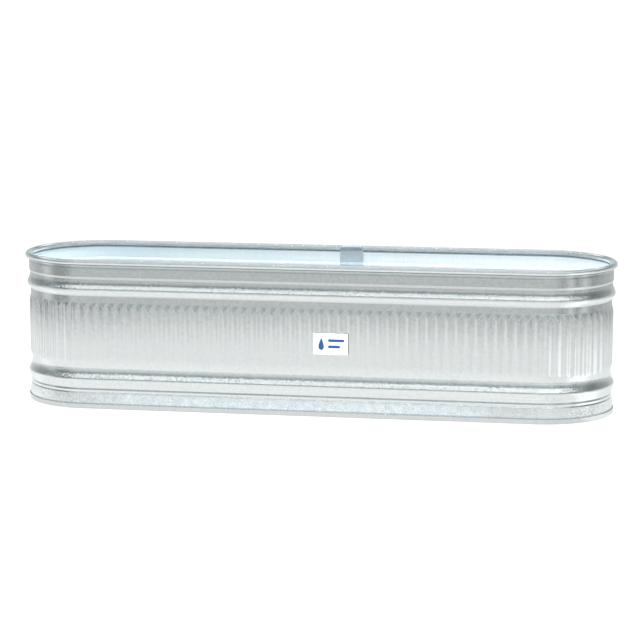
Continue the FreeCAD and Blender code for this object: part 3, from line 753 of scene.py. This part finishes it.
class Zinc(Material):
    """Hot-dip zinc: crystals that differ in tilt and gloss, under a pale bloom. Heights are in metres."""

    def __init__(self, name, spangle_mm):
        super().__init__(name)
        self.place = self.object_space()
        self.height = self.axis(self.place, "Z")
        self.pressed = self.times(self.spread(self.height, 0.15, 0.19, 0.0, 1.0),
                                  self.spread(self.height, 0.44, 0.47, 1.0, 0.0))
        self.cloud = self.noise(self.place, 9.0, 4.0)
        self.bloom = self.noise(self.place, 38.0, 5.0, 0.65)
        warp = self.add("ShaderNodeTexNoise", Vector=self.place, Scale=60.0, Detail=2.0).outputs["Color"]
        shifted = self.vectors("MULTIPLY_ADD", i0=warp, i1=(0.006, 0.006, 0.006), i2=self.place)
        self.crystals = self.cells(shifted, 1000.0 / spangle_mm)
        crystal = self.add("ShaderNodeSeparateColor", Color=self.crystals).outputs["Red"]
        dry = self.times(self.spread(self.bloom, 0.35, 0.75, -0.02, 0.04),
                         self.spread(self.pressed, 0.0, 1.0, 1.0, 0.3))
        self.rough = self.math("ADD", self.spread(crystal, 0.0, 1.0, 0.14, 0.2), dry)
        self.shade = self.mix(crystal, (0.8, 0.82, 0.825, 1), (0.88, 0.89, 0.885, 1))
        self.tint(self.spread(self.cloud, 0.3, 0.7, 0.0, 0.45), (0.87, 0.88, 0.875, 1))
        self.metallic = 0.95

    def tint(self, fac, colour):
        self.shade = self.mix(fac, self.shade, colour)

    def add_streaks(self):
        """Rolling marks along the sheet, fainter on the flutes."""
        lines = self.times(self.noise(self.sheet((1.6, 160, 1)), 1.0, 5.0, 0.7),
                           self.spread(self.pressed, 0.0, 1.0, 1.0, 0.5))
        self.rough = self.math("ADD", self.rough, self.spread(lines, 0.3, 0.7, -0.03, 0.05))
        self.tint(self.spread(lines, 0.42, 0.7, 0.0, 0.5), (0.72, 0.745, 0.755, 1))

    def weather_and_shade_inside(self, inner, inside, along):
        """The inside has gone dull, with bluish vertical streaks; painted shade darkens it low down and
        towards the left, and painted shadow lines run under the rim and just above the hem.
        """
        self.rough = self.math("ADD", self.rough, self.times(inside, 0.2))
        self.metallic = self.math("SUBTRACT", self.metallic, self.times(inside, 0.75))
        uprights = self.noise(self.sheet((210, 1.5, 1)), 1.0, 4.0, 0.6)
        self.tint(self.times(self.pressed, self.spread(uprights, 0.42, 0.7, 0.0, 0.16)),
                  (0.7, 0.72, 0.72, 1))
        self.tint(self.times(inside, self.spread(uprights, 0.35, 0.65, 0.1, 0.5)),
                  (0.62, 0.76, 0.83, 1))
        # Painted shade: the inside is darker towards the left.
        self.tint(self.times(inside, self.spread(along, -1.1, 0.6, 0.5, 0.0)), (0.45, 0.58, 0.65, 1))
        # Painted shade: the inside is darker low down.
        self.tint(self.times(inside, self.spread(self.height, 0.515, 0.555, 0.6, 0.0)),
                  (0.42, 0.48, 0.51, 1))
        # Painted shadow: a dark line inside, just under the rim roll.
        shadow_under_rim = self.times(inner, self.near(self.height, 0.5865, 0.003, 0.006, 0.9))
        # Painted shadow: a dark line just above the hem's top edge.
        shadow_over_hem = self.near(self.height, 0.0215, 0.0015, 0.0035, 0.45)
        self.tint(self.math("ADD", shadow_under_rim, shadow_over_hem), (0.2, 0.26, 0.3, 1))

    def frost_foot(self, outer, along):
        """The flared foot is frosted outside, but not towards its two ends."""
        frosted = self.times(outer, self.spread(self.height, 0.058, 0.066, 1.0, 0.0))
        frosted = self.times(frosted, self.spread(along, -0.95, -0.75, 0.15, 1.0))
        frosted = self.times(frosted, self.spread(along, 0.6, 0.75, 1.0, 0.15))
        self.metallic = self.math("SUBTRACT", self.metallic, self.times(frosted, 0.3))
        self.rough = self.math("ADD", self.rough, self.times(frosted, 0.08))
        self.tint(self.times(frosted, self.spread(self.bloom, 0.4, 0.6, 0.2, 0.8)),
                  (0.62, 0.69, 0.74, 1))

    def normal(self):
        """Every crystal tilts the surface a little; where the sheet was worked, finer ones do it more."""
        tilt = self.vectors("SCALE", i0=self.vectors("SUBTRACT", i0=self.crystals, i1=HALVES),
                            Scale=self.spread(self.pressed, 0.0, 1.0, 0.03, 0.01))
        foot = self.spread(self.height, 0.055, 0.065, 0.1, 0.0)
        upper_bead = self.near(self.height, 0.505, 0.02, 0.028, 0.1)
        lower_bead = self.near(self.height, 0.132, 0.012, 0.018, 0.1)
        worked = self.math("ADD", foot, self.math("ADD", upper_bead, lower_bead))
        frost = self.vectors("SUBTRACT", i0=self.cells(self.place, 260.0), i1=HALVES)
        tilt = self.vectors("ADD", i0=tilt, i1=self.vectors("SCALE", i0=frost, Scale=worked))
        grain = self.bump(self.noise(self.place, 700.0, 2.0), 0.03, 0.0003)
        return self.vectors("NORMALIZE", i0=self.vectors("ADD", i0=grain, i1=tilt))


def galvanised(name, spangle_mm=9.0, streaks=True, inside_from=None, painted_shade=None):
    """Zinc for one piece; a wall's inside starts where the travel up its sheet passes inside_from."""
    zinc = Zinc(name, spangle_mm)
    if streaks:
        zinc.add_streaks()
    outside = 1.0
    if inside_from:
        inner = zinc.math("GREATER_THAN", zinc.axis(zinc.sheet((1, 1, 1)), "Y"), inside_from)
        inside = zinc.times(inner, zinc.spread(zinc.height, 0.58, 0.588, 1.0, 0.0))
        along = zinc.math("ADD", zinc.axis(zinc.place, "X"), zinc.spread(zinc.cloud, 0.3, 0.7, -0.08, 0.08))
        zinc.frost_foot(zinc.math("SUBTRACT", 1.0, inner), along)
        zinc.weather_and_shade_inside(inner, inside, along)
        outside = zinc.math("SUBTRACT", 1.0, inside)
    # Painted shade: the outside is darkened by a ramp over height.
    if painted_shade:
        zinc.shade = zinc.mix(outside, zinc.shade, zinc.ramp(zinc.height, painted_shade), "MULTIPLY")
    return zinc.set(Base_Color=zinc.shade, Metallic=zinc.metallic, Roughness=zinc.rough,
                    Normal=zinc.normal())


def zinc_paint():
    n = Material("zinc_paint")
    place = n.object_space()
    brush = n.noise(n.stretched(place, (260, 260, 14)), 1.0, 3.0)
    mottle = n.noise(place, 45.0, 4.0)
    shade = n.mix(n.spread(mottle, 0.3, 0.7, 0, 1), (0.4, 0.47, 0.51, 1), (0.5, 0.57, 0.62, 1))
    shade = n.mix(n.spread(brush, 0.45, 0.7, 0, 0.4), shade, (0.5, 0.54, 0.56, 1))
    # Painted shade: the paint is darkened over the rim, where the light falls on it.
    shade_over_rim = n.spread(n.axis(place, "Z"), 0.588, 0.6, 0.0, 0.8)
    shade = n.mix(shade_over_rim, shade, (0.1, 0.12, 0.135, 1))
    normal = n.bump(brush, 0.35, 0.0006)
    return n.set(Base_Color=shade, Metallic=0.35, Roughness=n.spread(mottle, 0.3, 0.7, 0.45, 0.62),
                 Normal=normal)


def brass():
    n = Material("machined_brass")
    place = n.object_space()
    tarnish = n.noise(place, 120.0, 5.0, 0.6)
    shade = n.mix(n.spread(tarnish, 0.35, 0.7, 0, 1), (0.78, 0.57, 0.26, 1), (0.5, 0.36, 0.18, 1))
    lathe_marks = n.noise(n.stretched(place, (90, 90, 2400)), 1.0, 2.0)
    return n.set(Base_Color=shade, Metallic=1.0, Roughness=n.spread(tarnish, 0.3, 0.7, 0.24, 0.45),
                 Normal=n.bump(lathe_marks, 0.15, 0.0002))


def rubber():
    n = Material("black_rubber")
    place = n.object_space()
    dust = n.noise(place, 210.0, 4.0)
    shade = n.mix(n.spread(dust, 0.45, 0.8, 0, 1), (0.018, 0.018, 0.019, 1), (0.075, 0.073, 0.07, 1))
    return n.set(Base_Color=shade, Roughness=n.spread(dust, 0.3, 0.8, 0.55, 0.8),
                 Normal=n.bump(n.noise(place, 900.0, 2.0), 0.2, 0.0002))


def plug_plastic():
    n = Material("moulded_plastic")
    place = n.object_space()
    scuff = n.noise(place, 160.0, 5.0, 0.65)
    shade = n.mix(n.spread(scuff, 0.5, 0.8, 0, 1), (0.03, 0.032, 0.035, 1), (0.12, 0.12, 0.125, 1))
    return n.set(Base_Color=shade, Roughness=n.spread(scuff, 0.3, 0.8, 0.32, 0.6),
                 Normal=n.bump(n.noise(place, 1300.0, 2.0), 0.25, 0.0002))


def sealant():
    n = Material("floor_sealant")
    smear = n.noise(n.object_space(), 75.0, 4.0)
    shade = n.mix(n.spread(smear, 0.3, 0.7, 0, 1), (0.42, 0.44, 0.45, 1), (0.56, 0.57, 0.57, 1))
    return n.set(Base_Color=shade, Roughness=0.55, Normal=n.bump(smear, 0.5, 0.001))


def label_film():
    n = Material("label_film")
    place = n.object_space()
    sheen = n.noise(place, 30.0, 3.0)
    shade = n.mix(n.spread(sheen, 0.3, 0.7, 0, 1), (0.76, 0.765, 0.77, 1), (0.8, 0.805, 0.81, 1))
    return n.set(Base_Color=shade, Roughness=n.spread(sheen, 0.3, 0.7, 0.3, 0.42),
                 Normal=n.bump(n.noise(place, 500.0, 2.0), 0.08, 0.0002))


def label_ink():
    n = Material("label_ink")
    print_grain = n.noise(n.object_space(), 420.0, 3.0)
    shade = n.mix(n.spread(print_grain, 0.3, 0.7, 0, 1), (0.01, 0.06, 0.22, 1), (0.016, 0.085, 0.29, 1))
    return n.set(Base_Color=shade, Roughness=0.35)


# ------------------------------------------------------------------ label

INK_THICKNESS = 0.12


def flat_plate(name, outline, back, front):
    """A thin plate standing on the front wall: an (x, z) outline between two Y planes, in mm."""
    build = bmesh.new()
    ring_back = [build.verts.new(Vector((x, back, z)) * MM) for x, z in outline]
    ring_front = [build.verts.new(Vector((x, front, z)) * MM) for x, z in outline]
    build.faces.new(ring_front)
    build.faces.new(ring_back[::-1])
    for k in range(len(outline)):
        build.faces.new([ring_back[k - 1], ring_back[k], ring_front[k], ring_front[k - 1]])
    bmesh.ops.recalc_face_normals(build, faces=build.faces)
    mesh = bpy.data.meshes.new(name)
    build.to_mesh(mesh)
    build.free()
    return new_object(name, mesh, smooth=False)


def rounded_rectangle(x, z, width, height, radius, steps=6):
    points = []
    for corner, (sx, sz) in enumerate(((1, 1), (-1, 1), (-1, -1), (1, -1))):
        centre = (x + sx * (width / 2 - radius), z + sz * (height / 2 - radius))
        for k in range(steps + 1):
            angle = math.pi / 2 * (corner + k / steps)
            points.append((centre[0] + radius * math.cos(angle), centre[1] + radius * math.sin(angle)))
    return points


def drop_outline(x, z, size, steps=40):
    """A plain water drop, point up."""
    points = []
    for k in range(steps):
        angle = 2 * math.pi * k / steps
        pinch = math.sin(angle / 2) ** 1.6
        points.append((x + size * 0.62 * math.sin(angle) * pinch, z + size * math.cos(angle)))
    return points


def make_label():
    """A film with a plain drop and two bars printed on it, as wide and high as the CAD label."""
    low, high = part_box("label_sheet")
    middle_x, middle_z = (low.x + high.x) / 2 / MM, (low.z + high.z) / 2 / MM
    width, height = (high.x - low.x) / MM, (high.z - low.z) / MM
    back, front = high.y / MM, low.y / MM
    film = flat_plate("label", rounded_rectangle(middle_x, middle_z, width, height, 2.5), back, front)
    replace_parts(film, "label_sheet")
    film.data.materials.append(label_film())
    ink = label_ink()
    shapes = {"label_drop": drop_outline(middle_x - width * 0.27, middle_z + 1, height * 0.3),
              "label_bar_top": rounded_rectangle(middle_x + width * 0.16, middle_z + height * 0.16,
                                                 width * 0.46, height * 0.13, 3),
              "label_bar_bottom": rounded_rectangle(middle_x + width * 0.1, middle_z - height * 0.13,
                                                    width * 0.34, height * 0.13, 3)}
    for name, outline in shapes.items():
        flat_plate(name, outline, front, front - INK_THICKNESS).data.materials.append(ink)


# ------------------------------------------------------------------ build the object

make_wall()
make_floor()

paint = zinc_paint()
make_seam_paint("seam_paint_inside", "zinc_paint_inside", HALF_SHEET, paint)
make_seam_paint("seam_paint_outside", "zinc_paint_outside", -HALF_SHEET, paint)

SEALANT_OUTLINE = [Vector((-5.9, 22.05)), Vector((4.1, 22.05)), Vector((3.1, 30.0)), Vector((1.6, 27.0)),
                   Vector((-1.0, 24.2)), Vector((-3.6, 22.8))]
sealant_mesh = carry_round("floor_sealant", SEALANT_OUTLINE, plan_columns(60, 60))
seam_sealant = new_object("floor_sealant", sealant_mesh)
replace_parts(seam_sealant, "floor_seam_sealant")
seam_sealant.data.materials.append(sealant())

make_label()

NODE_MATERIALS = {
    "rim_tube": galvanised("tube_zinc", 6, False),
    "rim_splice": galvanised("splice_zinc", 6, False),
    "drain_bushing": brass(),
    "drain_lock_nut": brass(),
    "drain_washer": galvanised("plated_washer", 3, False),
    "drain_outer_gasket": rubber(),
    "drain_inner_gasket": rubber(),
    "drain_plug_seal": rubber(),
    "drain_plug": plug_plastic(),
}
EDGE_BREAK = 0.4
SHARP_ANGLE = math.radians(35)
for node, material in NODE_MATERIALS.items():
    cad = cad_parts[node]
    cad.data.materials.clear()
    cad.data.materials.append(material)
    if node.startswith("drain"):
        edge = cad.modifiers.new("edges", "BEVEL")
        edge.width = EDGE_BREAK * MM
        edge.segments = 2
        edge.limit_method = "ANGLE"
        edge.angle_limit = SHARP_ANGLE
        edge.harden_normals = False

# ------------------------------------------------------------------ stage, light and camera


def placed(name, mesh, material):
    obj = bpy.data.objects.new(name, mesh)
    bpy.context.scene.collection.objects.link(obj)
    mesh.materials.append(material)
    return obj


def square_mesh(name, reach, height):
    mesh = bpy.data.meshes.new(name)
    mesh.from_pydata([(-reach, -reach, height), (reach, -reach, height), (reach, reach, height),
                      (-reach, reach, height)], [], [(0, 1, 2, 3)])
    return mesh


def azimuth(n, x, y):
    """Bearing seen from above, 0.5 straight ahead of the front wall, rising towards +X."""
    angle = n.math("ARCTAN2", x, n.times(y, -1.0))
    return n.spread(angle, -math.pi, math.pi, 0.0, 1.0)


def make_ground():
    """A pale floor."""
    n = Material("stage_floor")
    n.set(Base_Color=(0.05, 0.05, 0.05, 1), Roughness=0.9, Emission_Color=(1, 1, 1, 1),
          Emission_Strength=1.0, Specular_IOR_Level=0.0)
    placed("stage_floor", square_mesh("stage_floor", 90, 0), n.material)


def make_reflector():
    """A card on the floor that only polished faces see, near and far tones changing round the trough."""
    n = Material("reflector")
    split = n.add("ShaderNodeSeparateXYZ", Vector=n.object_space())
    x, y = split.outputs["X"], split.outputs["Y"]
    past_side = n.math("MAXIMUM", n.math("SUBTRACT", n.math("ABSOLUTE", x), HALF_STRAIGHT * MM))
    away = n.math("SQRT", n.math("ADD", n.times(past_side, past_side), n.times(y, y)))
    around = azimuth(n, n.times(past_side, n.math("SIGN", x)), y)
    glow = n.mix(n.spread(away, 1.7, 2.5, 0.0, 1.0), n.ramp(around, NEAR_STOPS), n.ramp(around, FAR_STOPS))
    glow = n.mix(n.spread(away, 2.4, 2.55, 0.0, 1.0), glow, n.ramp(around, END_STOPS), "MULTIPLY")
    n.set(Base_Color=(0, 0, 0, 1), Roughness=1.0, Emission_Color=glow, Emission_Strength=1.0,
          Specular_IOR_Level=0.0)
    card = placed("reflector", square_mesh("reflector", 60, 0.001), n.material)
    card.visible_camera = False
    card.visible_diffuse = False
    card.visible_shadow = False
    card.visible_transmission = False


def greys(*stops):
    """Ramp stops from (bearing in degrees, brightness), a little cool."""
    return tuple((0.5 + angle / 360, (level, 1.025 * level, 1.02 * level)) for angle, level in stops)


NEAR_STOPS = greys((-180, 0.9), (-100, 0.92), (-84, 1.05), (-70, 1.05), (-64, 0.94), (-30, 0.94),
                   (5, 0.92), (14, 0.87), (30, 0.87), (42, 0.9), (47, 1.12), (70, 1.2), (82, 0.94),
                   (120, 0.88), (180, 0.9))
FAR_STOPS = greys((-180, 0.7), (-115, 0.7), (-80, 0.7), (-66, 0.6), (-45, 0.6), (40, 0.6),
                  (48, 0.7), (62, 0.6), (72, 0.7), (85, 0.6), (120, 0.65), (180, 0.7))
SIDE_STOPS = greys((-180, 0.8), (-100, 0.6), (-60, 0.85), (-14, 0.88), (-6, 0.95), (6, 1.1), (40, 1.15),
                   (60, 0.85), (100, 0.5), (180, 0.8))
END_STOPS = greys((-180, 0.9), (-118, 0.9), (-95, 0.7), (-82, 1.1), (-72, 1.1), (-60, 0.5), (-40, 0.6),
                  (-30, 1.0), (25, 1.0), (38, 0.6), (50, 1.1), (60, 0.5), (75, 1.1), (90, 0.6),
                  (120, 0.8), (180, 0.9))
SKY_STOPS = (
    (0.0, (0.75, 0.78, 0.79)),
    (0.06, (0.72, 0.75, 0.76)),
    (0.12, (0.56, 0.59, 0.6)),
    (0.2, (0.54, 0.57, 0.58)),
    (0.3, (0.46, 0.49, 0.5)),
    (0.38, (0.25, 0.28, 0.295)),
    (0.5, (0.25, 0.28, 0.295)),
    (0.57, (1.2, 1.23, 1.25)),
    (0.68, (1.2, 1.23, 1.25)),
    (0.73, (0.3, 0.34, 0.36)),
    (0.88, (0.35, 0.38, 0.4)),
    (0.97, (0.66, 0.7, 0.72)),
)


def make_world():
    """Soft light that changes with height and bearing, as panels round a studio give."""
    world = bpy.data.worlds.new("studio")
    bpy.context.scene.world = world
    world.use_nodes = True
    n = Nodes(world.node_tree)
    split = n.add("ShaderNodeSeparateXYZ", Vector=n.add("ShaderNodeTexCoord").outputs["Generated"])
    height = split.outputs["Z"]
    around = azimuth(n, split.outputs["X"], split.outputs["Y"])
    sky = n.mix(n.spread(height, 0.6, 0.9, 0.8, 0.0), n.ramp(height, SKY_STOPS),
                n.ramp(around, SIDE_STOPS), "MULTIPLY")
    dark_panels = n.times(n.spread(height, 0.08, 0.16, 0.0, 1.0), n.spread(height, 0.5, 0.57, 1.0, 0.0))
    background = n.tree.nodes["Background"]
    n.put(background, "Color", n.mix(dark_panels, sky, n.ramp(around, END_STOPS), "MULTIPLY"))
    n.put(background, "Strength", 1.0)


def area_light(name, place, target, width, height, power, colour=(1, 1, 1)):
    data = bpy.data.lights.new(name, "AREA")
    data.shape = "RECTANGLE"
    data.size = width
    data.size_y = height
    data.energy = power
    data.color = colour
    lamp = bpy.data.objects.new(name, data)
    bpy.context.scene.collection.objects.link(lamp)
    lamp.location = place
    lamp.rotation_euler = (Vector(target) - Vector(place)).to_track_quat("-Z", "Y").to_euler()
    return lamp


def make_lights():
    overhead = area_light("overhead", (0, 0.2, 5.0), (0, 0, 0.3), 4.0, 2.4, 1100, (0.94, 1.0, 1.02))
    front = area_light("front", (1.5, -5.5, 2.6), (0.3, 0, 0.5), 3.0, 2.0, 330)
    for lamp in (overhead, front):
        lamp.visible_glossy = False


CAMERA_PLACE = (1.4068, -8.4718, 1.8393)
CAMERA_TURN = 0.163
CAMERA_DOWN = 0.173
CAMERA_LENS = 119.5


def make_camera():
    data = bpy.data.cameras.new("camera")
    data.sensor_width = 36
    data.lens = CAMERA_LENS
    data.clip_end = 200
    camera = bpy.data.objects.new("camera", data)
    bpy.context.scene.collection.objects.link(camera)
    camera.location = CAMERA_PLACE
    camera.rotation_euler = (math.pi / 2 - CAMERA_DOWN, 0, CAMERA_TURN)
    bpy.context.scene.camera = camera


make_ground()
make_reflector()
make_world()
make_lights()
make_camera()
bpy.context.scene.view_settings.view_transform = "Standard"
bpy.context.scene.view_settings.look = "None"
